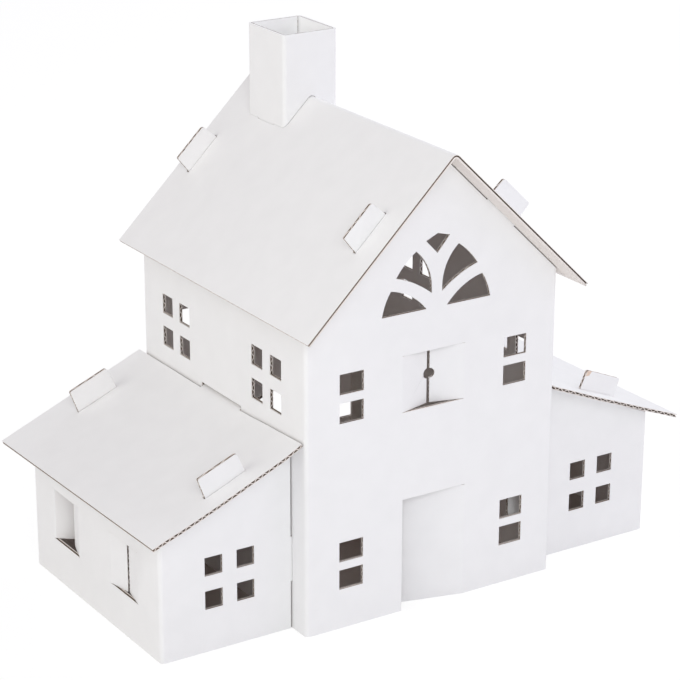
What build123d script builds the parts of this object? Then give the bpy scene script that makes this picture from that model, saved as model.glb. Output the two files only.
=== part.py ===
# Slot-and-tab model house cut from white-faced corrugated board.
# Millimetres, +Z up, the front door faces -Y, the wall edges rest on Z = 0.
import os
from math import cos, radians, sin, tan

from build123d import *

os.makedirs("parts", exist_ok=True)

# Board
board = 2.6
fold_radius = 3.4
slot_play = 0.4
seam_gap = 0.6
lap_width = 24.3
# How far a cutting block runs past what it cuts.
past = 5.0

# Main house
house_width = 210.0
house_depth = 230.2
ridge_height = 340.5
ridge_shift = 0.4
roof_slope = 44.35
eave_reach = 11.2
roof_front_overhang = 20.7
roof_back_overhang = 15.4
ridge_radius = 4.4
gable_gap = 1.0
gable_tab_length = 33.0
gable_tab_height = 18.6
gable_tab_distance = 73.4
gable_tab_shift = 1.7
gable_tab_taper = 1.3
tab_radius = 4.0
tab_root = 3.0

# Openings in the front and back walls
pane_wide = 19.6
pane_tall = 14.9
pane_step = 21.1
pair_distance = 68.6
pair_sills = (30.1, 155.1)
door_width = 53.4
door_height = 86.4
door_centre = 1.2
front_door_angle = 14.5
back_door_angle = 55.0
shutter_width = 52.0
shutter_height = 42.2
shutter_sill = 152.2
shutter_centre = -0.5
shutter_gap = 1.8
front_shutter_angle = 16.0
back_shutter_angle = 8.0
finger_hole_radius = 3.65
finger_hole_rise = 1.2
fan_centre = 1.1
fan_sill = 225.2

# How far a wall's two-pane windows stand off centre and low.
front_pairs = {"shift": 0.45, "drop": 0.0}
back_pairs = {"shift": 2.1, "drop": 0.9}

# Four-pane windows: pane size and the bar between panes
side_pane = 15.0
side_bar = 10.1
annex_pane = 13.9
annex_bar = 11.3
# In the side walls: inset from the corner of the house and height of the middle.
left_windows = {"front": (52.0, 176.6), "back": (50.2, 176.0)}
right_windows = {"front": (49.2, 176.4), "back": (56.4, 177.3)}

# Lean-to annexes
annex_front = 18.9
annex_depth = 192.6
annex_width = 104.5
annex_gap = 1.1
annex_slope = 22.57
annex_inner_height = 143.1
annex_roof_reach = 117.9
annex_roof_length = 233.4
annex_roof_gap = 1.4
annex_top_play = 2.1
annex_shutter_width = 40.6
annex_shutter_height = 39.6
annex_shutter_sill = 32.1
annex_shutter_insets = (52.2, 51.7)
annex_tab_length = 33.0
annex_tab_height = 20.9
wall_tab_low = 36.4
wall_tab_high = 70.6
wall_tab_length = 21.5
wall_tab_radius = 9.0
roof_tab_front = 87.5
roof_tab_back = 143.0
roof_tab_length = 20.0
roof_slot_height = 6.0
roof_slot_rise = 1.75
# The two annexes differ a little, as assembled: the window's middle out and up, the tabs' distance out,
# how far each shutter stands open, how far the walls are raised, and the roof's slope, front edge, lift
# in degrees and height.
left = {
    "window": (50.1, 51.8),
    "tab": 50.5,
    "shutters": ((11.2, 9.5), (17.2, 52.0)),
    "walls_raised": 0.0,
    "slope": annex_slope,
    "front": 3.2,
    "lift": 0.93,
    "roof_raised": 0.0,
}
right = {
    "window": (52.1, 50.9),
    "tab": 52.9,
    "shutters": ((11.0, 14.0), (13.0, 10.0)),
    "walls_raised": 1.2,
    "slope": annex_slope - 0.67,
    "front": 0.6,
    "lift": 0.6,
    "roof_raised": 0.65,
}

# Chimney
chimney_width = 45.4
chimney_depth = 51.2
chimney_shift = -0.3
chimney_rise = 45.6
chimney_front = 161.4
chimney_tab_width = 20.8
chimney_tab_length = 12.0
chimney_gap = 0.7
chimney_lap_drop = 20.0

# Derived sizes
half_width = house_width / 2
front_y = -(house_depth + roof_front_overhang + roof_back_overhang) / 2 + roof_front_overhang
back_y = front_y + house_depth
slope_rise = tan(radians(roof_slope))
roof_drop = board / cos(radians(roof_slope))
under_ridge = ridge_height - roof_drop
gable_peak = under_ridge - gable_gap
chimney_top = ridge_height + chimney_rise


def side_wall_top(side):
    # The level top of the side wall at side * half_width, where it meets the underside of the roof.
    return under_ridge - (half_width - side * ridge_shift) * slope_rise


def block(x0, x1, y0, y1, z0, z1):
    size = Box(x1 - x0, y1 - y0, z1 - z0)
    return Pos((x0 + x1) / 2, (y0 + y1) / 2, (z0 + z1) / 2) * size


def corner_edges(points):
    # Each point is (u, v, radius). Gives the lines and arcs of a closed outline with rounded corners.
    count = len(points)
    corners = []
    for i in range(count):
        u, v, r = points[i]
        pu, pv, _ = points[i - 1]
        nu, nv, _ = points[(i + 1) % count]
        if r == 0:
            corners.append([(u, v)])
            continue
        before = Vector(pu - u, pv - v, 0).normalized()
        after = Vector(nu - u, nv - v, 0).normalized()
        half = radians(before.get_angle(after)) / 2
        reach = r / tan(half)
        middle = (before + after).normalized() * (r / sin(half) - r)
        start = before * reach
        end = after * reach
        corners.append([(u + start.X, v + start.Y), (u + middle.X, v + middle.Y), (u + end.X, v + end.Y)])
    pieces = []
    for i in range(count):
        if len(corners[i]) == 3:
            pieces.append(corners[i])
        pieces.append([corners[i][-1], corners[(i + 1) % count][0]])
    return pieces


def prism(pieces, low, high, axis):
    # Extrudes a closed outline of lines (two points) and arcs (three points).
    # axis "Y" reads the points as (x, z), "Z" as (x, y) and "X" as (y, z).
    place = {
        "Y": lambda p: (p[0], low, p[1]),
        "Z": lambda p: (p[0], p[1], low),
        "X": lambda p: (low, p[0], p[1]),
    }[axis]
    way = {"Y": (0, 1, 0), "Z": (0, 0, 1), "X": (1, 0, 0)}[axis]
    edges = []
    for piece in pieces:
        spots = [place(p) for p in piece]
        if len(spots) == 2:
            edges.append(Edge.make_line(spots[0], spots[1]))
        else:
            edges.append(Edge.make_three_point_arc(spots[0], spots[1], spots[2]))
    face = Face(Wire(edges))
    return Solid.extrude(face, Vector(way) * (high - low))


def rounded(points, low, high, axis):
    return prism(corner_edges(points), low, high, axis)


def sharp(points, low, high, axis):
    return rounded([(u, v, 0) for u, v in points], low, high, axis)


def sloped_tab(distance, length, height, slope, peak, y0, y1, taper=0):
    # A tab that stands square on an edge falling from the peak at x = 0, on the +X side.
    # distance is measured down the slope to the middle of the tab, and taper narrows each end of its tip.
    run = cos(radians(slope))
    rise = sin(radians(slope))

    def spot(along, up, r):
        return (along * run + up * rise, peak - along * rise + up * run, r)

    start = distance - length / 2
    end = distance + length / 2
    outline = [
        spot(start, -tab_root, 0), spot(start + taper, height, tab_radius),
        spot(end - taper, height, tab_radius), spot(end, -tab_root, 0),
    ]
    return rounded(outline, y0, y1, "Y")


def flap(width, low, high, angle, hole=None):
    # A flap hinged on the Z axis at its inner face and reaching towards -X, outer face towards -Y.
    # It is folded inwards, and its crease is filled on the outer side.
    panel = block(-width, 0, -board, 0, low, high)
    if hole:
        panel = panel - Pos(-width, -board / 2, hole[1]) * Rot(90, 0, 0) * Cylinder(hole[0], 3 * board)
    panel = Rot(0, 0, -angle) * panel
    a = radians(angle)
    crease = [
        [(0, 0), (0, -board)],
        [(0, -board), (-board * sin(a / 2), -board * cos(a / 2)), (-board * sin(a), -board * cos(a))],
        [(-board * sin(a), -board * cos(a)), (0, 0)],
    ]
    return panel + prism(crease, low, high, "Z")


def front_flap(x, side, width, low, high, angle, hole=None):
    # side +1 hinges the flap on its +X edge, -1 on its -X edge. The wall's outer face is at front_y.
    piece = flap(width, low, high, angle, hole)
    if side < 0:
        piece = mirror(piece, about=Plane.YZ)
    return Pos(x, front_y + board, 0) * piece


def fan_window():
    # Five panes between tree-like glazing bars, for the right half, mirrored to the left.
    low = [
        [(8.5, 0), (21.2, 11.4), (38.0, 18.0)],
        [(38.0, 18.0), (42.6, 9.4), (45.2, 0)],
        [(45.2, 0), (8.5, 0)],
    ]
    middle = [
        [(4.4, 10.9), (6.6, 27.6), (17.6, 43.1)],
        [(17.6, 43.1), (26.5, 35.6), (33.9, 26.5)],
        [(33.9, 26.5), (18.4, 20.2), (4.4, 10.9)],
    ]
    top = [
        [(-9.7, 49.2), (0, 53.3)],
        [(0, 53.3), (10.2, 50.6)],
        [(10.2, 50.6), (0, 39.0)],
        [(0, 39.0), (-9.7, 49.2)],
    ]
    panes = []
    for side in (1, -1):
        for pane in (low, middle):
            moved = [[(fan_centre + side * u, fan_sill + v) for u, v in piece] for piece in pane]
            panes.append(prism(moved, front_y - 1, front_y + board + 1, "Y"))
    moved = [[(fan_centre + u, fan_sill + v) for u, v in piece] for piece in top]
    panes.append(prism(moved, front_y - 1, front_y + board + 1, "Y"))
    return panes


def gable_cuts(pairs):
    # Everything cut out of the front wall. pairs holds how far its two-pane windows stand off centre and low.
    y0 = front_y - 1
    y1 = front_y + board + 1
    cuts = fan_window()
    for side in (-1, 1):
        x = pairs["shift"] + side * pair_distance
        for sill in pair_sills:
            for row in (0, 1):
                z = sill - pairs["drop"] + row * pane_step
                cuts.append(block(x - pane_wide / 2, x + pane_wide / 2, y0, y1, z, z + pane_tall))
    x = door_centre
    cuts.append(block(x - door_width / 2, x + door_width / 2, y0, y1, -1, door_height))
    x = shutter_centre
    z = shutter_sill
    cuts.append(block(x - shutter_width / 2, x + shutter_width / 2, y0, y1, z, z + shutter_height))
    return cuts


def gable_flaps(door_angle, shutter_angle):
    hinge = door_centre + door_width / 2
    parts = [front_flap(hinge, 1, door_width - 0.4, 0, door_height - 0.4, door_angle)]
    low = shutter_sill + 0.3
    high = shutter_sill + shutter_height - 0.3
    hole = (finger_hole_radius, (low + high) / 2 + finger_hole_rise)
    for side in (-1, 1):
        x = shutter_centre + side * shutter_width / 2
        reach = (shutter_width - shutter_gap) / 2
        parts.append(front_flap(x, side, reach, low, high, shutter_angle, hole))
    return parts


def to_back(piece):
    # Moves what was made for the front wall to the back wall, keeping its left and right.
    return mirror(piece, about=Plane.XZ.offset(-(front_y + back_y) / 2))


def gable_tabs(y0, y1):
    tab = sloped_tab(gable_tab_distance, gable_tab_length, gable_tab_height, roof_slope, gable_peak, y0, y1,
                     gable_tab_taper)
    return [Pos(gable_tab_shift, 0, 0) * side for side in (tab, mirror(tab, about=Plane.YZ))]


def four_panes(y, z, x0, x1):
    # A two by two window through a wall that faces along X.
    cuts = []
    step = (side_pane + side_bar) / 2
    for dy in (-step, step):
        for dz in (-step, step):
            y0 = y + dy - side_pane / 2
            z0 = z + dz - side_pane / 2
            cuts.append(block(x0, x1, y0, y0 + side_pane, z0, z0 + side_pane))
    return cuts


def main_walls():
    outline = Pos(0, (front_y + back_y) / 2, 0) * RectangleRounded(house_width, house_depth, fold_radius)
    room = Pos(0, (front_y + back_y) / 2, 0) * RectangleRounded(
        house_width - 2 * board, house_depth - 2 * board, fold_radius - board)
    walls = extrude(outline - room, gable_peak)
    wide = half_width + 1
    right_edge = gable_peak - (wide - ridge_shift) * slope_rise
    left_edge = gable_peak - (wide + ridge_shift) * slope_rise
    gable = sharp([(-wide, -1), (wide, -1), (wide, right_edge), (ridge_shift, gable_peak), (-wide, left_edge)],
                  front_y - 1, back_y + 1, "Y")
    walls = walls & gable
    # Between the gables the side walls end level, just under the roof.
    corner = fold_radius + 0.5
    walls = walls - block(-wide, wide, front_y + corner, back_y - corner, side_wall_top(-1), ridge_height)
    for side in (-1, 1):
        middle = side * (half_width - board / 2)
        walls = walls + block(middle - board / 2, middle + board / 2, front_y + corner, back_y - corner,
                              side_wall_top(-1) - 2 * board, side_wall_top(side))
    cuts = gable_cuts(front_pairs)
    cuts += [to_back(cut) for cut in gable_cuts(back_pairs)]
    for side, windows in ((-1, left_windows), (1, right_windows)):
        x = side * half_width
        front_inset, front_height = windows["front"]
        back_inset, back_height = windows["back"]
        cuts += four_panes(front_y + front_inset, front_height, x - past, x + past)
        cuts += four_panes(back_y - back_inset, back_height, x - past, x + past)
    for y in (front_y + annex_front, front_y + annex_front + annex_depth - board):
        cuts.append(block(-half_width - past, half_width + past, y - slot_play, y + board + slot_play,
                          wall_tab_low - slot_play, wall_tab_high + slot_play))
    for side, annex_side in ((-1, left), (1, right)):
        x = side * half_width
        top = annex_inner_height + annex_side["roof_raised"] + roof_slot_rise
        cuts.append(block(x - past, x + past, front_y + roof_tab_front - 1.5 * slot_play,
                          front_y + roof_tab_back + 1.5 * slot_play, top - roof_slot_height, top))
    # The strip is closed at a back corner, where a lap from the side wall is glued behind the back wall.
    seam_x = half_width - fold_radius
    seam = block(seam_x - seam_gap, seam_x, back_y - board - 1, back_y + 1, -1, side_wall_top(1) - 1)
    walls = walls - cuts - seam
    lap = block(seam_x - lap_width, half_width - board / 2, back_y - 2 * board, back_y - board,
                board, side_wall_top(1) - 12)
    flaps = gable_flaps(front_door_angle, front_shutter_angle)
    flaps += [to_back(piece) for piece in gable_flaps(back_door_angle, back_shutter_angle)]
    tabs = gable_tabs(front_y, front_y + board) + gable_tabs(back_y - board, back_y)
    return walls + flaps + tabs + lap


def main_roof():
    run = half_width + eave_reach
    right_fall = (run - ridge_shift) * slope_rise
    left_fall = (run + ridge_shift) * slope_rise
    a = radians(roof_slope)
    inner_x = run - board * sin(a)
    eave_thick = board * cos(a)
    y0 = front_y - roof_front_overhang
    y1 = back_y + roof_back_overhang
    roof = rounded([
        (ridge_shift, ridge_height, ridge_radius),
        (run, ridge_height - right_fall, 0),
        (inner_x, ridge_height - right_fall - eave_thick, 0),
        (ridge_shift, under_ridge, ridge_radius - board),
        (-inner_x, ridge_height - left_fall - eave_thick, 0),
        (-run, ridge_height - left_fall, 0),
    ], y0, y1, "Y")
    cuts = []
    for y in (front_y, back_y - board):
        slot = sloped_slot(gable_tab_distance, gable_tab_length, roof_slope, gable_peak, y)
        cuts += [Pos(gable_tab_shift, 0, 0) * side for side in (slot, mirror(slot, about=Plane.YZ))]
    middle = front_y + chimney_front + chimney_depth / 2
    for side in (-1, 1):
        x = chimney_shift + side * (chimney_width / 2 - board / 2)
        z = ridge_height - chimney_width / 2 * slope_rise
        half = chimney_tab_width / 2 + slot_play
        thick = board / 2 + slot_play
        cuts.append(block(x - thick, x + thick, middle - half, middle + half, z - 12, z + 12))
    return roof - cuts


def sloped_slot(distance, length, slope, peak, y):
    run = cos(radians(slope))
    rise = sin(radians(slope))
    spots = []
    for along, up in ((-1, -4), (-1, 12), (1, 12), (1, -4)):
        d = distance + along * (length / 2 + 2 * slot_play)
        spots.append((d * run + up * rise, peak - d * rise + up * run))
    return sharp(spots, y - slot_play, y + board + slot_play, "Y")


def chimney():
    middle = front_y + chimney_front + chimney_depth / 2
    outline = Pos(0, middle, 0) * RectangleRounded(chimney_width, chimney_depth, fold_radius)
    flue = Pos(0, middle, 0) * RectangleRounded(
        chimney_width - 2 * board, chimney_depth - 2 * board, fold_radius - board)
    foot = ridge_height - chimney_width / 2 * slope_rise
    tube = Pos(0, 0, foot) * extrude(outline - flue, chimney_top - foot)
    # The foot is notched to sit astride the roof, so the notch stays on the ridge.
    over = chimney_width
    peak = ridge_height + chimney_gap
    low = peak - over * slope_rise
    notch = sharp([(-over, low), (0, peak), (over, low)],
                  middle - chimney_depth, middle + chimney_depth, "Y")
    tube = tube - Pos(ridge_shift - chimney_shift, 0, 0) * notch
    half = chimney_tab_width / 2
    for side in (-1, 1):
        x0 = side * (chimney_width / 2 - board)
        x1 = side * chimney_width / 2
        tab = rounded([
            (middle - half, foot + 6, 0), (middle + half, foot + 6, 0),
            (middle + half, foot - chimney_tab_length, 3), (middle - half, foot - chimney_tab_length, 3),
        ], min(x0, x1), max(x0, x1), "X")
        tube = tube + tab
    seam_x = chimney_width / 2 - fold_radius
    back = middle + chimney_depth / 2
    seam = block(seam_x - seam_gap, seam_x, back - board - 0.2, back + 1, foot, chimney_top + 1)
    lap = block(seam_x - lap_width / 2, chimney_width / 2 - board / 2, back - 2 * board, back - board,
                ridge_height + 2 * board, chimney_top - chimney_lap_drop)
    return Pos(chimney_shift, 0, 0) * (tube - seam + lap)


def annex_drop(slope):
    # The board's thickness measured upright through a sloping roof.
    return board / cos(radians(slope))


def annex_top():
    # Where the top edge of an annex wall would meet the main wall.
    return annex_inner_height - annex_drop(annex_slope) - annex_top_play


def annex_walls(window, tab_distance, angles, raised):
    # Made on the +X side. window is the middle of the four panes, out from the main wall and up.
    # angles holds the shutter openings: front pair, then back pair, front flap first.
    # raised is how far the walls end above annex_top.
    inner = half_width + annex_gap
    outer = half_width + annex_width
    y0 = front_y + annex_front
    y1 = y0 + annex_depth
    r = fold_radius
    ring = rounded([(inner, y0, 0), (outer, y0, r), (outer, y1, r), (inner, y1, 0)],
                   0, annex_inner_height, "Z")
    room = rounded([(inner - 1, y0 + board, 0), (outer - board, y0 + board, r - board),
                    (outer - board, y1 - board, r - board), (inner - 1, y1 - board, 0)],
                   -1, annex_inner_height + 1, "Z")
    walls = ring - room
    rise = tan(radians(annex_slope))
    top = annex_top() + raised
    cap = sharp([(inner - past, top + past * rise), (outer + past, top - (annex_width + past) * rise),
                 (outer + past, 2 * top), (inner - past, 2 * top)], y0 - past, y1 + past, "Y")
    walls = walls - cap
    side_top = top - annex_width * rise
    walls = walls - block(outer - board - 0.1, outer + 1, y0 + r, y1 - r, side_top, side_top + 20)
    step = (annex_pane + annex_bar) / 2
    x = half_width + window[0]
    for dx in (-step, step):
        for dz in (-step, step):
            x0 = x + dx - annex_pane / 2
            z0 = window[1] + dz - annex_pane / 2
            walls = walls - block(x0, x0 + annex_pane, y0 - past, y1 + past, z0, z0 + annex_pane)
    low = annex_shutter_sill
    high = low + annex_shutter_height
    half = annex_shutter_width / 2
    front_inset, back_inset = annex_shutter_insets
    for y, pair in ((y0 + front_inset, angles[0]), (y1 - back_inset, angles[1])):
        walls = walls - block(outer - past, outer + past, y - half, y + half, low, high)
        for side, angle in zip((-1, 1), pair):
            piece = flap(half - shutter_gap / 2, low + 0.3, high - 0.3, angle)
            if side < 0:
                piece = mirror(piece, about=Plane.YZ)
            walls = walls + Pos(outer - board, y + side * half, 0) * Rot(0, 0, 90) * piece
    for y in (y0, y1 - board):
        walls = walls + wall_tab(y)
        tab = sloped_tab(tab_distance / cos(radians(annex_slope)), annex_tab_length, annex_tab_height,
                         annex_slope, annex_top(), y, y + board)
        walls = walls + Pos(half_width, 0, 0) * tab
    return walls


def wall_tab(y):
    inner = half_width + annex_gap
    end = inner - annex_gap - board - wall_tab_length
    return rounded([
        (inner + 2, wall_tab_low, 0), (inner + 2, wall_tab_high, 0),
        (end, wall_tab_high, wall_tab_radius), (end, wall_tab_low, wall_tab_radius),
    ], y, y + board, "Y")


def annex_roof(slope, front, tab_distance, lift, raised):
    # Made on the +X side as a level sheet, then tilted to the slope and lifted at the front.
    # front is how far its front edge lies behind the house's front wall. lift is in degrees, and raised
    # is how far the middle of the sheet meets the wall above annex_inner_height.
    run = cos(radians(slope))
    length = annex_roof_reach / run
    start = annex_roof_gap / run
    y0 = front_y + front
    y1 = y0 + annex_roof_length
    ta = front_y + roof_tab_front
    tb = front_y + roof_tab_back
    tip = -(board + roof_tab_length) / run
    sheet = rounded([
        (start, y0, 0), (start, ta, 0), (tip, ta, 5), (tip, tb, 5), (start, tb, 0),
        (start, y1, 0), (length, y1, 0), (length, y0, 0),
    ], -board, 0, "Z")
    mid_y = (y0 + y1) / 2
    sheet = Pos(0, -mid_y, 0) * sheet
    sheet = Rot(-lift, 0, 0) * Rot(0, slope, 0) * sheet
    sheet = Pos(0, mid_y, annex_inner_height + raised) * sheet
    distance = tab_distance / cos(radians(annex_slope))
    for y in (front_y + annex_front, front_y + annex_front + annex_depth - board):
        sheet = sheet - sloped_slot(distance, annex_tab_length, annex_slope, annex_top(), y)
    return Pos(half_width, 0, 0) * sheet


def annex(side):
    walls = annex_walls(side["window"], side["tab"], side["shutters"], side["walls_raised"])
    roof = annex_roof(side["slope"], side["front"], side["tab"], side["lift"], side["roof_raised"])
    return walls, roof


right_walls, right_roof = annex(right)
left_walls, left_roof = [mirror(shape, about=Plane.YZ) for shape in annex(left)]
nodes = {
    "main_walls": main_walls(),
    "main_roof": main_roof(),
    "chimney": chimney(),
    "left_annex_walls": left_walls,
    "left_annex_roof": left_roof,
    "right_annex_walls": right_walls,
    "right_annex_roof": right_roof,
}

for name, shape in nodes.items():
    solids = shape.solids()
    print(name, len(solids), "solid", round(sum(s.volume for s in solids)), "mm3")
    export_step(shape, "parts/" + name + ".step")
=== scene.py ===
# Slot-together white corrugated house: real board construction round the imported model.
from math import cos, pi, radians, sin, tan

import bmesh
import bpy
from mathutils import Matrix, Vector
from mathutils.bvhtree import BVHTree
from mathutils.geometry import delaunay_2d_cdt


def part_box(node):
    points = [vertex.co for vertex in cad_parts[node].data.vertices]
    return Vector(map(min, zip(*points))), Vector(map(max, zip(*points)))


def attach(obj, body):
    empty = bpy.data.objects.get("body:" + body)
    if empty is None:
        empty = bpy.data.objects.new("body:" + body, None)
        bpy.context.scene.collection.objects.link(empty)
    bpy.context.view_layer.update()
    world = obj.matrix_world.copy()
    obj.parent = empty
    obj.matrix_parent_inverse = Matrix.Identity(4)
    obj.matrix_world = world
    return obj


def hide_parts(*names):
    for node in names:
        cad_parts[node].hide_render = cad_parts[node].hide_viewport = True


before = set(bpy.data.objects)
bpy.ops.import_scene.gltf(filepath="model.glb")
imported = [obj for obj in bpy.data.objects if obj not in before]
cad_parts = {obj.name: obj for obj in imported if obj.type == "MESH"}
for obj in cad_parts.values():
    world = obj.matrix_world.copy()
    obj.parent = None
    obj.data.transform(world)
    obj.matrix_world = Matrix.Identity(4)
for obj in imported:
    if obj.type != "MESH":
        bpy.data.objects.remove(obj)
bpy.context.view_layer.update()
mm = 0.001


def addObject(name, data):
    made = bpy.data.objects.new(name, data)
    bpy.context.scene.collection.objects.link(made)
    return made


def boxInMm(node):
    low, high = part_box(node)
    return low / mm, high / mm


print("frame loaded:", len(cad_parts), "sheets")


# Camera

camera = {
    "place": (-910.37, -1419.01, 787.56),   # mm, in front of the house and to its left
    "turn": 32.507,
    "down": 20.237,
    "roll": 0.116,
    "focalPixels": 2453.75,                 # for a picture 680 pixels wide
    "picture": 680,
    "sensor": 36.0,
    "clip": (0.05, 20),
}


def placeCamera(shot):
    turn = radians(shot["turn"])
    down = radians(shot["down"])
    roll = radians(shot["roll"])
    ahead = Vector((sin(turn) * cos(down), cos(turn) * cos(down), -sin(down)))
    right = Vector((cos(turn), -sin(turn), 0))
    up = right.cross(ahead)
    right, up = right * cos(roll) + up * sin(roll), up * cos(roll) - right * sin(roll)
    data = bpy.data.cameras.new("houseCamera")
    data.sensor_width = shot["sensor"]
    data.lens = shot["focalPixels"] / shot["picture"] * shot["sensor"]
    data.clip_start, data.clip_end = shot["clip"]
    seen = addObject("houseCamera", data)
    spin = Matrix((right, up, -ahead)).transposed().to_4x4()
    seen.matrix_world = Matrix.Translation(Vector(shot["place"]) * mm) @ spin
    bpy.context.scene.camera = seen


placeCamera(camera)
print("camera placed")


# Papers

paperLook = {
    "spread": (0.3, 0.7),                # where the noise turns from the dark tone to the light one
    "white": {
        "cloud": (60, 4),                # scale and detail of the slow change of tone
        "grain": (1400, 3, 0.6),
        "bump": (0.12, 0.00005),         # strength, and depth in metres
        "roughness": 0.62,
        "specular": 0.25,
    },
    "kraft": {
        "fibre": (900, 5, 0.65),
        "bump": (0.3, 0.0001),
        "roughness": 0.85,
        "specular": 0.15,
    },
}


def newMaterial(name):
    material = bpy.data.materials.new(name)
    material.use_nodes = True
    tree = material.node_tree
    tree.nodes.clear()
    shader = tree.nodes.new("ShaderNodeBsdfPrincipled")
    out = tree.nodes.new("ShaderNodeOutputMaterial")
    tree.links.new(shader.outputs["BSDF"], out.inputs["Surface"])
    return material, tree, shader


def addNoise(tree, scale, detail, roughness=0.5):
    place = tree.nodes.new("ShaderNodeTexCoord")
    noise = tree.nodes.new("ShaderNodeTexNoise")
    noise.inputs["Scale"].default_value = scale
    noise.inputs["Detail"].default_value = detail
    noise.inputs["Roughness"].default_value = roughness
    tree.links.new(place.outputs["Object"], noise.inputs["Vector"])
    return noise.outputs["Fac"]


def addTone(tree, shader, source, dark, light):
    ramp = tree.nodes.new("ShaderNodeValToRGB")
    for stop, position, tone in zip(ramp.color_ramp.elements, paperLook["spread"], (dark, light)):
        stop.position = position
        stop.color = (*tone, 1)
    tree.links.new(source, ramp.inputs["Fac"])
    tree.links.new(ramp.outputs["Color"], shader.inputs["Base Color"])


def addBump(tree, shader, source, strength, depth):
    bump = tree.nodes.new("ShaderNodeBump")
    bump.inputs["Strength"].default_value = strength
    bump.inputs["Distance"].default_value = depth
    tree.links.new(source, bump.inputs["Height"])
    tree.links.new(bump.outputs["Normal"], shader.inputs["Normal"])


def whiteFace(name, dark, light, paintedGlow=None):
    # The bleached paper on both faces of the board. The fourth argument, if given, makes the paper glow
    # faintly: painted light that stands in for light reaching the inside.
    look = paperLook["white"]
    material, tree, shader = newMaterial(name)
    if paintedGlow:
        shader.inputs["Emission Color"].default_value = (*paintedGlow, 1)
        shader.inputs["Emission Strength"].default_value = 1
    addTone(tree, shader, addNoise(tree, *look["cloud"]), dark, light)
    addBump(tree, shader, addNoise(tree, *look["grain"]), *look["bump"])
    shader.inputs["Roughness"].default_value = look["roughness"]
    shader.inputs["Specular IOR Level"].default_value = look["specular"]
    return material


def kraftPaper(name, dark, light):
    # Unbleached brown paper: the fluting, and both liners under their white face.
    look = paperLook["kraft"]
    material, tree, shader = newMaterial(name)
    fibre = addNoise(tree, *look["fibre"])
    addTone(tree, shader, fibre, dark, light)
    addBump(tree, shader, fibre, *look["bump"])
    shader.inputs["Roughness"].default_value = look["roughness"]
    shader.inputs["Specular IOR Level"].default_value = look["specular"]
    return material


papers = {
    "outer": whiteFace("whiteOuterFace", (0.865, 0.863, 0.86), (0.885, 0.883, 0.88)),
    # The inner paper glows faintly: painted light on the inner faces of the house.
    "inner": whiteFace("whiteInnerFaceGlowing", (0.863, 0.858, 0.853), (0.883, 0.878, 0.873),
                       (0.013, 0.008, 0.006)),
    # The flue paper glows more: painted light on the chimney's inner faces.
    "glowingFlue": whiteFace("whiteFlueFaceGlowing", (0.865, 0.863, 0.86), (0.885, 0.883, 0.88), (0.06, 0.06, 0.06)),
    "edge": kraftPaper("linerCutEdge", (0.80, 0.74, 0.69), (0.88, 0.84, 0.80)),
    # The liner backs and the fluting are darker than kraft itself: kraft's own brown plus painted shade
    # inside the board.
    "hidden": kraftPaper("linerBackShaded", (0.20, 0.145, 0.11), (0.28, 0.21, 0.165)),
    "flute": kraftPaper("kraftFlutingShaded", (0.19, 0.135, 0.10), (0.26, 0.19, 0.145)),
    "torn": kraftPaper("tornCorner", (0.66, 0.47, 0.36), (0.86, 0.74, 0.64)),
    # The fluting's cut edge is lighter than kraft itself: kraft's own tone plus painted light where the cut
    # faces out.
    "fluteEdge": kraftPaper("flutingCutEdgeLit", (0.80, 0.72, 0.66), (0.88, 0.82, 0.77)),
}
print("papers mixed")


# Board

board = {
    "thick": 2.6,                 # mm, whole board
    "liner": 0.45,                # each of the two flat papers
    "flutePaper": (0.3, 1.0),     # the wavy paper between them, at its crests and between them
    "flutePitch": 6.47,
    "stepsPerFlute": 10,
    "wander": 0.5,                # how unevenly the waves come, as rolled paper does
    "wanderLengths": (41, 17.3),
    "wanderShare": 0.6,           # of the shorter length
    "foldRadius": 3.4,            # outside of a right-angle fold
    "foldSteps": 6,
    "edgePlay": 0.15,             # how far a hollow runs past a die-cut edge beside a flap
    "foldPlay": 0.3,              # cut left round a shutter, and past the fold of any flap
    "flapStart": 0.35,            # where a flap's hollow starts, along the flap
    "past": 1,                    # how far a cutting shape runs past what it cuts
    "smoothBelow": 32,            # degrees
}

# How the pieces' faces are told apart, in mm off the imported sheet's skin.
skinRules = {
    "hiddenBeyond": 0.3,
    "fluteCutWithin": 0.06,
    "rimWithin": 0.1,
    "rayStart": 0.002,            # under a face, where the look for its back begins
    "linerShare": 1.6,            # a white face has its back within this many liner thicknesses
    "creaseShare": 1.5,           # a flap's fold reaches this many board thicknesses round its hinge
    "upright": 0.2,               # the normal of an upright face rises less than this
    "level": 0.9,                 # the normal of a level face rises more than this
}

outerSlot, innerSlot, edgeSlot, linerBackAndShadeSlot, tornSlot = range(5)
plan = Matrix.Scale(mm, 4)


def solidFrom(name, points, faces):
    mesh = bpy.data.meshes.new(name)
    mesh.from_pydata(points, [], faces)
    shape = bmesh.new()
    shape.from_mesh(mesh)
    bmesh.ops.recalc_face_normals(shape, faces=shape.faces)
    shape.to_mesh(mesh)
    shape.free()
    return addObject(name, mesh)


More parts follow.
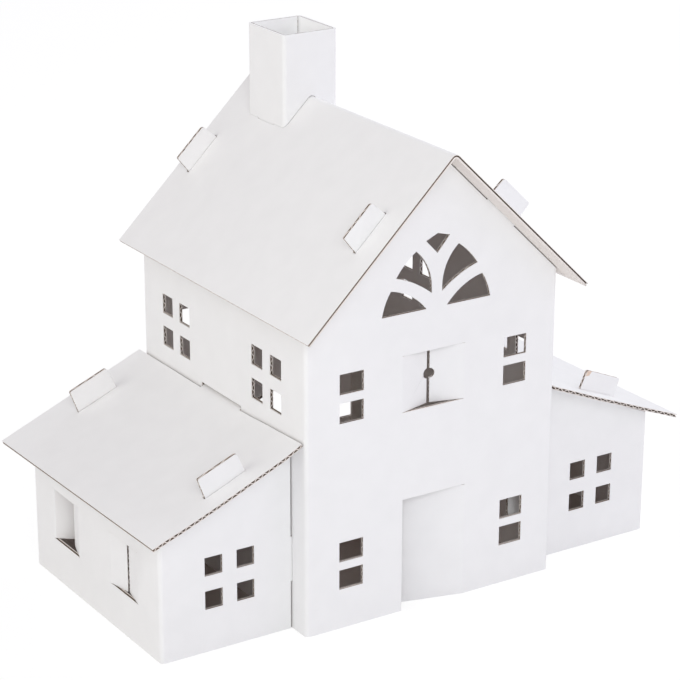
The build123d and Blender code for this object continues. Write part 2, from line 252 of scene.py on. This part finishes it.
def sweptSheet(name, path, rows, place, closed=False):
    # path holds (a, b, outward a, outward b) at the middle of the board, in mm.
    # rows holds (c, low, high): across the path, the sheet reaches from low to high off it.
    # place turns (a, b, c) into metres in the house's frame.
    points = []
    for c, low, high in rows:
        for off in (low, high):
            for a, b, na, nb in path:
                points.append(place @ Vector((a + na * off, b + nb * off, c)))
    n = len(path)
    faces = []
    spans = n if closed else n - 1
    for r in range(len(rows) - 1):
        for side in (0, 1):
            here = (2 * r + side) * n
            there = here + 2 * n
            for j in range(spans):
                k = (j + 1) % n
                faces.append((here + j, here + k, there + k, there + j))
        if not closed:
            for j in (0, n - 1):
                here = 2 * r * n + j
                faces.append((here, here + n, here + 3 * n, here + 2 * n))
    for r in (0, len(rows) - 1):
        here = 2 * r * n
        for j in range(spans):
            k = (j + 1) % n
            faces.append((here + j, here + k, here + n + k, here + n + j))
    return solidFrom(name, points, faces)


def hollowRows(low, high, innerLiner=None):
    half = board["thick"] / 2
    bottom = -half + (innerLiner or board["liner"])
    top = half - board["liner"]
    return [(low, bottom, top), (high, bottom, top)]


def fluteRows(low, high, phase=0.0, innerLiner=None, wander=board["wander"]):
    crest, slope = (paper / 2 for paper in board["flutePaper"])
    top = board["thick"] / 2 - board["liner"] - crest
    bottom = -board["thick"] / 2 + (innerLiner or board["liner"]) + crest
    longDrift, shortDrift = board["wanderLengths"]
    step = board["flutePitch"] / board["stepsPerFlute"]
    count = int((high - low) / step) + 2
    rows = []
    for i in range(count):
        c = low + i * step
        drift = wander * (sin(2 * pi * c / longDrift) + board["wanderShare"] * sin(2 * pi * c / shortDrift))
        turn = 2 * pi * c / board["flutePitch"] + phase + drift
        wave = (top + bottom) / 2 + (top - bottom) / 2 * sin(turn)
        half = crest + (slope - crest) * cos(turn) ** 4
        rows.append((c, wave - half, wave + half))
    return rows


def ringPath(x0, x1, y0, y1):
    # Middle of a board folded into a closed ring, from its outer faces.
    r = board["foldRadius"]
    inner = r - board["thick"] / 2
    steps = board["foldSteps"]
    corners = ((x1 - r, y1 - r, 0), (x0 + r, y1 - r, 90), (x0 + r, y0 + r, 180), (x1 - r, y0 + r, 270))
    path = []
    for cx, cy, start in corners:
        for i in range(steps + 1):
            t = radians(start + 90 * i / steps)
            path.append((cx + inner * cos(t), cy + inner * sin(t), cos(t), sin(t)))
    return path


def threeWallPath(nearX, farX, y0, y1):
    # Three walls of an annex, open towards the house: nearX is past the ends of its wall tabs.
    r = board["foldRadius"]
    inner = r - board["thick"] / 2
    steps = board["foldSteps"]
    way = 1 if farX > nearX else -1
    half = board["thick"] / 2
    path = [(nearX, y0 + half, 0, -1)]
    for cy, start in ((y0 + r, -90), (y1 - r, 0)):
        for i in range(steps + 1):
            t = radians(start + 90 * i / steps)
            path.append((farX - way * (r - inner * cos(t)), cy + inner * sin(t), way * cos(t), sin(t)))
    path.append((nearX, y1 - half, 0, 1))
    return path


def block(name, low, high):
    # The corners count through the low and high ends of x, y and z.
    points = [[(low, high)[i >> k & 1][k] * mm for k in range(3)] for i in range(8)]
    faces = [(0, 2, 3, 1), (4, 5, 7, 6), (0, 1, 5, 4), (2, 6, 7, 3), (0, 4, 6, 2), (1, 3, 7, 5)]
    return solidFrom(name, points, faces)


def boolean(piece, other, operation):
    # Cuts piece by other with Blender's manifold solver.
    step = piece.modifiers.new("trim", "BOOLEAN")
    step.operation = operation
    step.solver = "MANIFOLD"
    step.object = other
    bpy.context.view_layer.update()
    seen = piece.evaluated_get(bpy.context.evaluated_depsgraph_get())
    mesh = bpy.data.meshes.new_from_object(seen)
    piece.modifiers.clear()
    old = piece.data
    piece.data = mesh
    bpy.data.meshes.remove(old)


def drop(piece):
    mesh = piece.data
    bpy.data.objects.remove(piece)
    bpy.data.meshes.remove(mesh)


def sheetCopy(node):
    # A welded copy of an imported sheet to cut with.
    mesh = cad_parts[node].data.copy()
    shape = bmesh.new()
    shape.from_mesh(mesh)
    bmesh.ops.remove_doubles(shape, verts=shape.verts, dist=1e-6)
    shape.to_mesh(mesh)
    shape.free()
    mesh.materials.clear()
    return addObject(node + "_sheet", mesh)


def flapPlace(hinge, out, turn):
    # A flap's own frame: a runs from the hinge along the flap, b points out of its outer face, c is up.
    # hinge is a point on the wall's inner face, out the wall's outward direction, turn the opening angle.
    # The sign of turn says which way the flap runs from its hinge.
    outward = Vector((out[0], out[1], 0))
    along = Vector((-out[1], out[0], 0)) * (1 if turn > 0 else -1)
    a = radians(abs(turn))
    run = along * cos(a) - outward * sin(a)
    face = outward * cos(a) + along * sin(a)
    columns = Matrix((run, face, Vector((0, 0, 1)))).transposed()
    return Matrix.Translation(Vector((hinge[0], hinge[1], 0)) * mm) @ (columns * mm).to_4x4()


def joinPieces(name, pieces):
    shape = bmesh.new()
    for piece in pieces:
        shape.from_mesh(piece.data)
    mesh = bpy.data.meshes.new(name)
    shape.to_mesh(mesh)
    shape.free()
    for piece in pieces:
        drop(piece)
    return addObject(name, mesh)


def sheetMiddle(sheet):
    spots = [point.co for point in sheet.data.vertices]
    low = Vector([min(spot[k] for spot in spots) for k in range(3)])
    high = Vector([max(spot[k] for spot in spots) for k in range(3)])
    return (low + high) / 2


def within(spot, box):
    # spot is in metres, box two corners in mm.
    return all(a * mm < at < b * mm for a, at, b in zip(box[0], spot, box[1]))


def paintLiners(piece, sheet, creases, faceUp, whiteRim, inside, shaded):
    # The outer and inner white faces, the cut edges, and the side towards the flutes.
    # faceUp is for roofs, whose outer face looks up. A wall's outer face looks away from the sheet's middle.
    # whiteRim is the height in mm of a level edge where the white paper is pressed over the cut.
    # inside names the paper on the inner face. shaded are boxes in mm round the slots, whose cut edges get
    # the dark back paper as painted shade.
    tree = BVHTree.FromObject(sheet, bpy.context.evaluated_depsgraph_get())
    mesh = piece.data
    shape = bmesh.new()
    shape.from_mesh(mesh)
    bmesh.ops.triangulate(shape, faces=shape.faces)
    shape.normal_update()
    own = BVHTree.FromBMesh(shape)
    thin = board["liner"] * mm * skinRules["linerShare"]
    creaseReach = board["thick"] * skinRules["creaseShare"] * mm
    start = skinRules["rayStart"] * mm
    core = sheetMiddle(sheet)
    for face in shape.faces:
        middle = face.calc_center_median()
        normal = face.normal
        if tree.find_nearest(middle)[3] > skinRules["hiddenBeyond"] * mm:
            face.material_index = linerBackAndShadeSlot
            continue
        hit = own.ray_cast(middle - normal * start, -normal)
        skin = hit[0] is not None and hit[3] < thin
        if not skin and abs(normal.z) < skinRules["upright"]:
            fromFolds = [Vector((middle.x - x * mm, middle.y - y * mm)).length for x, y in creases]
            skin = any(distance < creaseReach for distance in fromFolds)
        away = normal.z if faceUp else normal.x * (middle.x - core.x) + normal.y * (middle.y - core.y)
        onRim = whiteRim and abs(middle.z / mm - whiteRim) < skinRules["rimWithin"]
        if onRim and normal.z > skinRules["level"]:
            skin = True
            away = 1
        if skin:
            face.material_index = outerSlot if away > 0 else innerSlot
        # Cut edges inside the slot boxes get the dark back paper: painted shade.
        elif any(within(middle, box) for box in shaded):
            face.material_index = linerBackAndShadeSlot
        else:
            face.material_index = edgeSlot
    mesh.materials.clear()
    for paper in ("outer", inside, "edge", "hidden"):
        mesh.materials.append(papers[paper])
    shape.to_mesh(mesh)
    shape.free()


def paintFlutes(piece, sheet):
    # The wavy paper is light where it is cut and dark inside the board: kraft's own brown, with painted light
    # at the cut and painted shade inside.
    tree = BVHTree.FromObject(sheet, bpy.context.evaluated_depsgraph_get())
    mesh = piece.data
    mesh.materials.clear()
    mesh.materials.append(papers["flute"])
    mesh.materials.append(papers["fluteEdge"])
    for face in mesh.polygons:
        isCut = tree.find_nearest(face.center)[3] < skinRules["fluteCutWithin"] * mm
        face.material_index = 1 if isCut else 0


def smoothFolds(piece):
    mesh = piece.data
    mesh.polygons.foreach_set("use_smooth", [True] * len(mesh.polygons))
    mesh.set_sharp_from_angle(angle=radians(board["smoothBelow"]))


def easedAlong(table, where):
    # Reads a table of (place, rise) with soft steps between its rows.
    if where <= table[0][0]:
        return table[0][1]
    for (a, low), (b, high) in zip(table, table[1:]):
        if where <= b:
            t = (where - a) / (b - a)
            return low + (high - low) * t * t * (3 - 2 * t)
    return table[-1][1]


def cutAcross(shape, place, normal):
    everything = list(shape.verts) + list(shape.edges) + list(shape.faces)
    bmesh.ops.bisect_plane(shape, geom=everything, dist=1e-7, plane_co=place, plane_no=normal)


def bendSheet(pieces, rise, xs, ys):
    # Cuts the pieces at xs and ys, in mm, and lifts each point by rise(point).
    for piece in pieces:
        shape = bmesh.new()
        shape.from_mesh(piece.data)
        for normal, places in ((Vector((1, 0, 0)), xs), (Vector((0, 1, 0)), ys)):
            for spot in places:
                cutAcross(shape, normal * spot * mm, normal)
        for point in shape.verts:
            point.co.z += rise(point.co / mm) * mm
        shape.to_mesh(piece.data)
        shape.free()


def reshapeTabs(pieces, tab, side=0):
    # Tightens the round corners of the tabs that stand on a sloping edge, and widens their feet to fill
    # the slots. Along and up are measured from the middle of a tab's foot. side 0 is for a pair of tabs.
    slope = radians(tab["slope"])
    half = tab["length"] / 2
    reach = tab["radius"] * tab["cornerShare"]
    for piece in pieces:
        for point in piece.data.vertices:
            spot = point.co / mm
            way = side or (1 if spot.x > tab["middle"] else -1)
            x = way * (spot.x - tab["middle"]) - tab["start"]
            z = spot.z - tab["peak"]
            along = x * cos(slope) - z * sin(slope) - tab["distance"]
            up = x * sin(slope) + z * cos(slope)
            if up < -tab["footDepth"] or abs(along) > half + tab["endPlay"]:
                continue
            end = 1 if along > 0 else -1
            corner = end * (half - tab["taper"])
            edge = end * (half - tab["taper"] * up / tab["height"])
            if up > tab["height"] - reach and end * along > half - tab["taper"] - reach:
                keep = tab["round"][end > 0]
                along = corner + (along - corner) * keep
                up = tab["height"] + (up - tab["height"]) * keep
            elif abs(along - edge) < tab["edgeBand"]:
                along += end * tab["widen"][end > 0] * (1 - up / tab["height"])
            else:
                continue
            along += tab["distance"]
            x = along * cos(slope) + up * sin(slope) + tab["start"]
            point.co.x = (tab["middle"] + way * x) * mm
            point.co.z = (tab["peak"] - along * sin(slope) + up * cos(slope)) * mm


def tearCorner(piece, tear):
    # Bares the kraft paper of one corner on the face towards -y.
    spot = Vector(tear["at"]) * mm
    shape = bmesh.new()
    shape.from_mesh(piece.data)
    cuts = []
    for outward, reach in tear["cuts"]:
        normal = Vector(outward).normalized()
        cuts.append((spot - normal * reach * mm, normal))
        cutAcross(shape, *cuts[-1])
    for face in shape.faces:
        middle = face.calc_center_median()
        beyond = all((middle - place).dot(normal) > 0 for place, normal in cuts)
        if beyond and (middle - spot).length < tear["within"] * mm and face.normal.y < tear["facing"]:
            face.material_index = tornSlot
    piece.data.materials.append(papers["torn"])
    shape.to_mesh(piece.data)
    shape.free()


def makeBoard(node, hollow, flutes, keepOut=(), flaps=(), faceUp=False, whiteRim=None, inside="inner",
              shaded=()):
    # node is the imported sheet. hollow and flutes are its swept gap and its wavy paper.
    # keepOut are the openings that hold flaps, as blocks. flaps are (place, width, low, high, crease).
    sheet = sheetCopy(node)
    for low, high in keepOut:
        gap = block("opening", low, high)
        boolean(hollow, gap, "DIFFERENCE")
        boolean(flutes, gap, "DIFFERENCE")
        drop(gap)
    liners = addObject(node + "_liners", sheet.data.copy())
    boolean(liners, hollow, "DIFFERENCE")
    drop(hollow)
    boolean(flutes, sheet, "INTERSECT")
    waves = [flutes]
    half = board["thick"] / 2
    play = board["edgePlay"]
    past = board["past"]
    for place, width, low, high, crease in flaps:
        path = [(board["flapStart"], half, 0, 1), (width + past, half, 0, 1)]
        gap = sweptSheet("flapGap", path, hollowRows(low - play, high + play), place)
        boolean(liners, gap, "DIFFERENCE")
        drop(gap)
        wave = sweptSheet("flapWave", path, fluteRows(low - past, high + past), place)
        boolean(wave, sheet, "INTERSECT")
        waves.append(wave)
    fluting = joinPieces(node + "_fluting", waves)
    paintFlutes(fluting, sheet)
    paintLiners(liners, sheet, [flap[4] for flap in flaps], faceUp, whiteRim, inside, shaded)
    drop(sheet)
    for piece in (liners, fluting):
        smoothFolds(piece)
        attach(piece, "root")
    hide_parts(node)
    print(node, "built:", len(liners.data.polygons), "liner and", len(fluting.data.polygons), "flute faces")
    return liners, fluting


# Main walls

mainWalls = {
    "doorCentre": 1.2,
    "doorWidth": 53.4,
    "doorHeight": 86.4,
    "doorPlay": 0.4,                 # cut round the door
    "doorTurns": (14.5, 55.0),       # front, back
    "doorFoot": -5,                  # the door's opening is cut from below the wall's foot
    "shutterCentre": -0.5,
    "shutterWidth": 52.0,
    "shutterSill": 152.2,
    "shutterHeight": 42.2,
    "shutterGap": 1.8,
    "shutterTurns": (16.0, 8.0),
    # Round the annexes' slots the cut edges are painted dark as shade, within these bounds.
    "annexSlots": (120, 30, 80),     # the annexes' slots lie out to 120, from 30 to 80 high
    "tabs": {
        "slope": 44.35,
        "middle": 1.7,
        "start": 0,
        "peak": 335.86,
        "distance": 73.4,
        "length": 33.0,
        "height": 18.6,
        "taper": 1.3,
        "radius": 4.0,
        "round": (0.55, 0.3),        # what stays of the radius at the upper and the lower corner
        "widen": (0.7, 0.5),
        "cornerShare": 1.15,         # of the radius
        "edgeBand": 0.7,
        "footDepth": 0.3,
        "endPlay": 0.5,
    },
}


def buildMainWalls(walls):
    low, high = boxInMm("main_walls")
    thick = board["thick"]
    play = board["edgePlay"]
    foldPlay = board["foldPlay"]
    past = board["past"]
    path = ringPath(low.x, high.x, low.y, high.y)
    hollow = sweptSheet("gap", path, hollowRows(-past, high.z + past), plan, closed=True)
    flutes = sweptSheet("wave", path, fluteRows(-past, high.z + past), plan, closed=True)
    hingeX = walls["doorCentre"] + walls["doorWidth"] / 2
    freeX = walls["doorCentre"] - walls["doorWidth"] / 2
    doorTop = walls["doorHeight"]
    half = walls["shutterWidth"] / 2
    left = walls["shutterCentre"] - half
    right = walls["shutterCentre"] + half
    sill = walls["shutterSill"]
    top = sill + walls["shutterHeight"]
    keepOut = []
    flaps = []
    for out, wall, door, shutter in ((-1, low.y, walls["doorTurns"][0], walls["shutterTurns"][0]),
                                     (1, high.y, walls["doorTurns"][1], walls["shutterTurns"][1])):
        y0 = wall - past if out < 0 else wall - thick - past
        y1 = y0 + thick + 2 * past
        hingeY = wall - out * thick
        keepOut.append(((freeX + play, y0, walls["doorFoot"]), (hingeX + foldPlay, y1, doorTop - play)))
        place = flapPlace((hingeX, hingeY), (0, out), door if out > 0 else -door)
        flaps.append((place, walls["doorWidth"] - walls["doorPlay"], 0, doorTop - walls["doorPlay"],
                      (hingeX, hingeY)))
        keepOut.append(((left - foldPlay, y0, sill + play), (right + foldPlay, y1, top - play)))
        for side, x in ((1, right), (-1, left)):
            place = flapPlace((x, hingeY), (0, out), shutter * side * out)
            leaf = half - walls["shutterGap"] / 2
            flaps.append((place, leaf, sill + foldPlay, top - foldPlay, (x, hingeY)))
    out, bottom, upper = walls["annexSlots"]
    shaded = []
    for node in ("left_annex_walls", "right_annex_walls"):
        first, last = boxInMm(node)
        for y in (first.y, last.y - thick):
            shaded.append(((-out, y - past, bottom), (out, y + thick + past, upper)))
    pieces = makeBoard("main_walls", hollow, flutes, keepOut, flaps, shaded=shaded)
    reshapeTabs(pieces, walls["tabs"])


buildMainWalls(mainWalls)


# Main roof

mainRoof = {
    "slope": 44.35,
    "ridge": 340.5,
    "ridgeShift": 0.4,
    "ridgeRadius": 4.4,
    "reach": 116.2,
    "pastEaves": 2,
    "innerLiner": 0.85,              # the inner paper stands thick along the die-cut front edge
}


def buildMainRoof(roof):
    low, high = boxInMm("main_roof")
    slope = radians(roof["slope"])
    r = roof["ridgeRadius"]
    shift = roof["ridgeShift"]
    liner = roof["innerLiner"]
    middle = r - board["thick"] / 2
    centre = roof["ridge"] - r / cos(slope)
    past = roof["reach"] / cos(slope) - r * tan(slope) + roof["pastEaves"]
    eaves = []
    for side in (-1, 1):
        a = side * slope
        n = (sin(a), cos(a))
        down = (side * cos(slope), -sin(slope))
        eaves.append((shift + middle * n[0] + down[0] * past, centre + middle * n[1] + down[1] * past, *n))
    fold = []
    steps = board["foldSteps"]
    for i in range(steps + 1):
        a = -slope + 2 * slope * i / steps
        fold.append((shift + middle * sin(a), centre + middle * cos(a), sin(a), cos(a)))
    path = [eaves[0], *fold, eaves[1]]
    place = Matrix(((mm, 0, 0, 0), (0, 0, mm, 0), (0, mm, 0, 0), (0, 0, 0, 1)))
    front = low.y - board["past"]
    back = high.y + board["past"]
    hollow = sweptSheet("gap", path, hollowRows(front, back, liner), place)
    # The front edge is cut where the wave lies on the inner paper.
    phase = -pi / 2 - 2 * pi * low.y / board["flutePitch"]
    flutes = sweptSheet("wave", path, fluteRows(front, back, phase, liner, wander=0), place)
    makeBoard("main_roof", hollow, flutes, faceUp=True, inside="outer")


buildMainRoof(mainRoof)


# Chimney

chimney = {
    "rimDepth": 3.0,       # the papers are pressed together along the rim
    "rimLine": 0.45,       # open line left beside the inner paper
    "rimStep": 0.01,       # height over which the hollow narrows
    "rimPlay": 0.1,        # from the rim down to the wavy paper
    "ridgeX": 0.4,
    "notchTop": 341.2,
    "notchNear": 4,        # above and below the notch's top edge
    "notchSag": 1.5,       # the notch sits closer over the ridge's round
    "notchReach": 2.4,
    "settle": 0.25,        # how far its feet sink onto the roof
}


def buildChimney(tube):
    low, high = boxInMm("chimney")
    past = board["past"]
    path = ringPath(low.x, high.x, low.y, high.y)
    half = board["thick"] / 2 - board["liner"]
    rim = high.z - tube["rimDepth"]
    line = tube["rimLine"] - half
    rows = [(low.z - past, -half, half), (rim, -half, half), (rim + tube["rimStep"], -half, line),
            (high.z + past, -half, line)]
    hollow = sweptSheet("gap", path, rows, plan, closed=True)
    flutes = sweptSheet("wave", path, fluteRows(low.z - past, rim - tube["rimPlay"]), plan, closed=True)
    pieces = makeBoard("chimney", hollow, flutes, whiteRim=high.z, inside="glowingFlue")

    def rise(spot):
        overNotch = spot.z - tube["notchTop"]
        fromRidge = abs(spot.x - tube["ridgeX"])
        if overNotch > tube["notchNear"]:
            return 0
        if overNotch < -tube["notchNear"] or fromRidge > tube["notchReach"]:
            return -tube["settle"]
        return -tube["settle"] - tube["notchSag"] * (1 - fromRidge / tube["notchReach"])

    bendSheet(pieces, rise, [tube["ridgeX"] - tube["notchReach"], tube["ridgeX"] + tube["notchReach"]], [])


buildChimney(chimney)


# Annexes

annexes = {
    "shutterWidth": 40.6,
    "shutterHeight": 39.6,
    "shutterSill": 32.1,
    "shutterInsets": (52.2, 51.7),
    "shutterGap": 1.8,
    "wallX": 105.0,
    "left": {
        "turns": ((11.2, 9.5), (17.2, 52.0)),
        "slope": 22.57,
        "roofHeight": 143.1,
        "roofLift": 0.93,
        "tabDistance": 54.69,        # of the wall's tabs, down the slope
        # How the light roof sheet bends: (mm along, mm up) along the front edge out from the wall, and
        # along the wall back from the front edge.
        "front": ((0, 1.5), (14, 0.0), (27, -0.35), (40, -0.5), (53, -0.85), (67, -0.9), (80, -0.7),
                  (93, -0.5), (106, 0.2), (118, 0.4)),
        "wall": ((0, 1.5), (30, 0.6), (84, -1.0), (140, -1.0), (190, -0.3), (228, 0.3)),
    },
    "right": {
        "turns": ((11.0, 14.0), (13.0, 10.0)),
        "slope": 21.9,
        "roofHeight": 143.75,
        "roofLift": 0.6,
        "tabDistance": 57.29,
        "front": ((0, -0.05), (14, -0.1), (28, -0.3), (42, -0.55), (56, -0.35), (84, -0.25), (100, 0.0),
                  (118, 0.25)),
        "wall": ((0, -0.05), (228, 0.0)),
    },
    "tabs": {**mainWalls["tabs"], "slope": 22.57, "middle": 0, "start": 105.0, "peak": 138.18, "height": 20.9,
             "taper": 0, "round": (0.5, 0.3)},
    "tear": {
        "at": (150.7, -93.5, 141.8),
        "cuts": (((-1, 0, 0.3), 4.0), ((0, 0, 1), 4.4), ((-1, 0, 1), 4.2)),
        "within": 12,
        "facing": -0.5,
    },
    "roofRun": (-40, 20),            # how far the hollow starts above the wall and ends past the eaves
    "roofSpare": 2,                  # and past its front and back edges
    "bendStep": 7,                   # mm between the bends out from the wall
    "bendRows": 16,
}


def buildAnnexWalls(side, way, annex):
    node = side + "_annex_walls"
    low, high = boxInMm(node)
    play = board["edgePlay"]
    foldPlay = board["foldPlay"]
    past = board["past"]
    near = low.x - past if way > 0 else high.x + past
    far = high.x if way > 0 else low.x
    path = threeWallPath(near, far, low.y, high.y)
    hollow = sweptSheet("gap", path, hollowRows(-past, high.z + past), plan)
    flutes = sweptSheet("wave", path, fluteRows(-past, high.z + past), plan)
    sill = annex["shutterSill"]
    top = sill + annex["shutterHeight"]
    half = annex["shutterWidth"] / 2
    hingeX = far - way * board["thick"]
    x0 = min(far, hingeX) - past
    x1 = max(far, hingeX) + past
    middles = (low.y + annex["shutterInsets"][0], high.y - annex["shutterInsets"][1])
    keepOut = []
    flaps = []
    for middle, turns in zip(middles, annex[side]["turns"]):
        keepOut.append(((x0, middle - half - foldPlay, sill + play),
                        (x1, middle + half + foldPlay, top - play)))
        for edge, turn in zip((-1, 1), turns):
            y = middle + edge * half
            place = flapPlace((hingeX, y), (way, 0), -turn * edge * way)
            leaf = half - annex["shutterGap"] / 2
            flaps.append((place, leaf, sill + foldPlay, top - foldPlay, (hingeX, y)))
    pieces = makeBoard(node, hollow, flutes, keepOut, flaps)
    reshapeTabs(pieces, {**annex["tabs"], "distance": annex[side]["tabDistance"]}, way)
    if side == "right":
        tearCorner(pieces[0], annex["tear"])


def buildAnnexRoof(side, way, annex):
    node = side + "_annex_roof"
    low, high = boxInMm(node)
    roof = annex[side]
    wallX = annex["wallX"]
    slope = radians(roof["slope"])
    lift = Matrix.Rotation(radians(-roof["roofLift"]), 4, "X")
    tilt = Matrix.Rotation(slope, 4, "Y")
    mirror = Matrix.Diagonal((way, 1, 1, 1))
    top = Vector((way * wallX, (low.y + high.y) / 2, roof["roofHeight"]))
    # a along the house, b out of the sheet, c down the slope
    axes = Matrix(((0, 0, mm, 0), (mm, 0, 0, 0), (0, mm, 0, 0), (0, 0, 0, 1)))
    place = Matrix.Translation(top * mm) @ mirror @ lift @ tilt @ axes
    half = board["thick"] / 2
    span = (high.y - low.y) / 2 + annex["roofSpare"]
    path = [(-span, -half, 0, 1), (span, -half, 0, 1)]
    above, beyond = annex["roofRun"]
    run = (high.x - low.x) / cos(slope) + beyond
    hollow = sweptSheet("gap", path, hollowRows(above, run), place)
    flutes = sweptSheet("wave", path, fluteRows(above, run), place)
    pieces = makeBoard(node, hollow, flutes, faceUp=True)
    reach = max(abs(low.x), abs(high.x)) - wallX
    corner = roof["wall"][0][1]

    def rise(spot):
        out = way * spot.x - wallX
        back = spot.y - low.y
        u = min(max(out / reach, 0), 1)
        v = min(max(back / (high.y - low.y), 0), 1)
        byWall = easedAlong(roof["wall"], back) * (1 - u)
        byFront = easedAlong(roof["front"], out) * (1 - v)
        return byWall + byFront - corner * (1 - u) * (1 - v)

    rows = annex["bendRows"]
    xs = [way * (wallX + spot) for spot in range(0, int(reach), annex["bendStep"])]
    ys = [low.y + (high.y - low.y) * k / rows for k in range(1, rows)]
    bendSheet(pieces, rise, xs, ys)


for side, way in (("left", -1), ("right", 1)):
    buildAnnexWalls(side, way, annexes)
    buildAnnexRoof(side, way, annexes)


# Floor and light

studio = {
    "floorSize": 6.0,                # metres
    "floorPaint": 0.9,
    "floorGlow": 0.84,               # with the shade, what the camera sees of the floor
    "floorShade": 0.2,
    # The table inside the house and the annexes is painted darker than outside: painted shade.
    "roomShadeTone": (0.52, 0.46, 0.43),
    "roomRoughness": 0.8,
    "sky": (0.977, 0.94, 1.0),
    "skyStrength": 0.58,
    "lookAt": (0, 0, 0.15),
    "lamps": (
        # name, place, size, watts, colour
        ("frontSoft", (1.9, -1.9, 1.1), 1.4, 4.6, (0.93, 0.82, 1.0)),
        ("leftSoft", (-2.6, 0.0, 1.3), 1.6, 15.6, (1.0, 0.99, 0.86)),
        ("rightHigh", (2.3, 0.2, 1.9), 2.0, 32.5, (0.90, 0.96, 1.0)),
        ("cornerFill", (-0.7, -1.5, 1.0), 0.8, 8.9, (0.93, 0.98, 0.98)),
    ),
}


def cameraSees(tree):
    # 1 for what the camera sees, straight or in a gloss or glass.
    path = tree.nodes.new("ShaderNodeLightPath")
    total = path.outputs["Is Camera Ray"]
    for name in ("Is Glossy Ray", "Is Transmission Ray"):
        most = tree.nodes.new("ShaderNodeMath")
        most.operation = "MAXIMUM"
        tree.links.new(total, most.inputs[0])
        tree.links.new(path.outputs[name], most.inputs[1])
        total = most.outputs[0]
    return total


def addShader(tree, kind, colour, strength=None):
    shader = tree.nodes.new(kind)
    shader.inputs["Color"].default_value = (*colour, 1)
    if strength is not None:
        shader.inputs["Strength"].default_value = strength
    return shader.outputs[0]


def showCamera(tree, seen, usual, out):
    # seen is what the camera gets, usual what everything else gets.
    pick = tree.nodes.new("ShaderNodeMixShader")
    tree.links.new(cameraSees(tree), pick.inputs["Fac"])
    tree.links.new(usual, pick.inputs[1])
    tree.links.new(seen, pick.inputs[2])
    tree.links.new(pick.outputs[0], tree.nodes.new(out).inputs["Surface"])


def doorstep(wall, out, turn, walls):
    # The house's edge across a door, along the door as it stands open, in the order of its jambs.
    half = board["thick"] / 2
    a = radians(turn)
    hingeX = walls["doorCentre"] + walls["doorWidth"] / 2
    freeX = walls["doorCentre"] - walls["doorWidth"] / 2
    reach = walls["doorWidth"] - walls["doorPlay"]
    middle = wall - out * half
    inner = wall - out * board["thick"]
    foot = (hingeX - half * sin(a), inner + out * half * cos(a))
    tip = (foot[0] - reach * cos(a), foot[1] - out * reach * sin(a))
    return [(freeX, middle), tip, foot, (hingeX, middle)]


def floorShape(room):
    # One level sheet. What lies inside the house and the annexes has the second material, which is painted
    # darker as shade.
    half = board["thick"] / 2
    boxes = []
    for node in ("main_walls", "left_annex_walls", "right_annex_walls"):
        low, high = boxInMm(node)
        boxes.append((low.x + half, high.x - half, low.y + half, high.y - half))
    house, leftRoom, rightRoom = boxes
    frontTurn, backTurn = mainWalls["doorTurns"]
    front = doorstep(house[2] - half, -1, frontTurn, mainWalls)
    back = doorstep(house[3] + half, 1, backTurn, mainWalls)
    edge = room["floorSize"] / 2 / mm
    outlines = [
        [(-edge, -edge), (edge, -edge), (edge, edge), (-edge, edge)],
        [(house[0], house[2]), *front, (house[1], house[2]), (house[1], house[3]), *reversed(back),
         (house[0], house[3])],
        [(leftRoom[0], leftRoom[2]), (house[0], leftRoom[2]), (house[0], leftRoom[3]),
         (leftRoom[0], leftRoom[3])],
        [(house[1], rightRoom[2]), (rightRoom[1], rightRoom[2]), (rightRoom[1], rightRoom[3]),
         (house[1], rightRoom[3])],
    ]
    spots = []
    shapes = []
    for outline in outlines:
        shapes.append(list(range(len(spots), len(spots) + len(outline))))
        spots += [Vector(spot) for spot in outline]
    snug = 1e-4
    points, _, faces, _, _, origins = delaunay_2d_cdt(spots, [], shapes, 0, snug)
    floor = solidFrom("floor", [(p.x * mm, p.y * mm, 0) for p in points], faces)
    for face, origin in zip(floor.data.polygons, origins):
        face.material_index = 1 if any(k > 0 for k in origin) else 0
    return floor


def buildFloor(room):
    floor = floorShape(room)
    table = bpy.data.materials.new("paleTable")
    table.use_nodes = True
    tree = table.node_tree
    tree.nodes.clear()
    plain = addShader(tree, "ShaderNodeBsdfDiffuse", [room["floorPaint"]] * 3)
    faint = addShader(tree, "ShaderNodeBsdfDiffuse", [room["floorShade"]] * 3)
    glow = addShader(tree, "ShaderNodeEmission", (1, 1, 1), room["floorGlow"])
    both = tree.nodes.new("ShaderNodeAddShader")
    tree.links.new(faint, both.inputs[0])
    tree.links.new(glow, both.inputs[1])
    showCamera(tree, both.outputs[0], plain, "ShaderNodeOutputMaterial")
    floor.data.materials.append(table)
    roomShade, tree, shader = newMaterial("tableInsideShaded")
    shader.inputs["Base Color"].default_value = (*room["roomShadeTone"], 1)
    shader.inputs["Roughness"].default_value = room["roomRoughness"]
    floor.data.materials.append(roomShade)


def buildLight(room):
    world = bpy.data.worlds.new("studio")
    bpy.context.scene.world = world
    world.use_nodes = True
    tree = world.node_tree
    tree.nodes.clear()
    sky = addShader(tree, "ShaderNodeBackground", room["sky"], room["skyStrength"])
    white = addShader(tree, "ShaderNodeBackground", (1, 1, 1), 1)
    showCamera(tree, white, sky, "ShaderNodeOutputWorld")
    for name, place, size, watts, colour in room["lamps"]:
        data = bpy.data.lights.new(name, "AREA")
        data.size = size
        data.energy = watts
        data.color = colour
        lamp = addObject(name, data)
        lamp.location = place
        towards = Vector(room["lookAt"]) - Vector(place)
        lamp.rotation_euler = towards.to_track_quat("-Z", "Y").to_euler()
    bpy.context.scene.view_settings.view_transform = "Standard"


buildFloor(studio)
buildLight(studio)
print("floor and light set")
